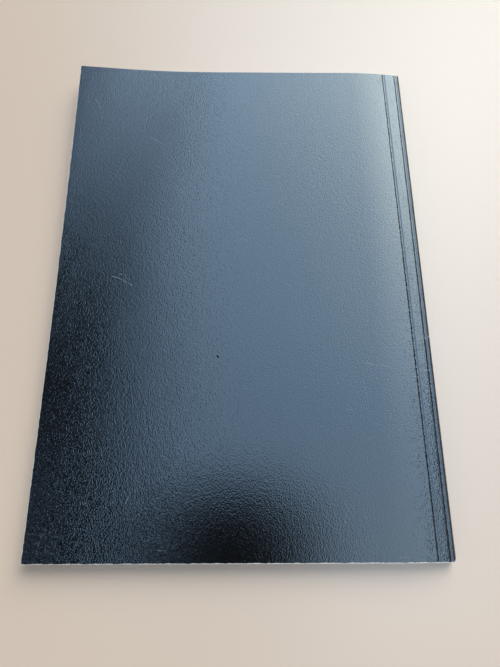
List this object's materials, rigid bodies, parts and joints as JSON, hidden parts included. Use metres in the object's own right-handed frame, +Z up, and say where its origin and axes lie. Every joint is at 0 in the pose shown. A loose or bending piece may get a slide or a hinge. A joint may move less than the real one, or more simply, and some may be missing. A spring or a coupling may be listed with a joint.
{
  "type": "paperback book",
  "caption": "Thin A5 paperback lying on its front cover: a trimmed page block glued into a scored, folded card cover, with covers that open at their hinge scores.",
  "frame": {"origin": "on the table, under the middle of the closed book", "axes": "+Z up from the table through the front cover, the pages and the back cover; +X from the fore-edge to the spine; +Y from the tail to the head"},
  "size_m": [0.148, 0.21, 0.0089],
  "materials": {
    "pages": "matte",
    "glue": "satin",
    "cover": "gloss"
  },
  "bodies": {
    "block": {"page_block": "pages", "spine_glue": "glue", "cover_spine": "cover"},
    "front": {"front_cover": "cover"},
    "back": {"back_cover": "cover"}
  },
  "joints": [
    {"name": "back_cover_hinge", "type": "hinge", "parent": "block", "child": "back", "pos_m": [0.06691, 0, 0.00479], "axis": [-0.0071, 1, 0.0007], "range_deg": [0, 175]},
    {"name": "front_cover_hinge", "type": "hinge", "parent": "block", "child": "front", "pos_m": [0.0669, 0, 0.00013], "axis": [-0.0071, -1, -0.0001], "range_deg": [0, 175]}
  ]
}
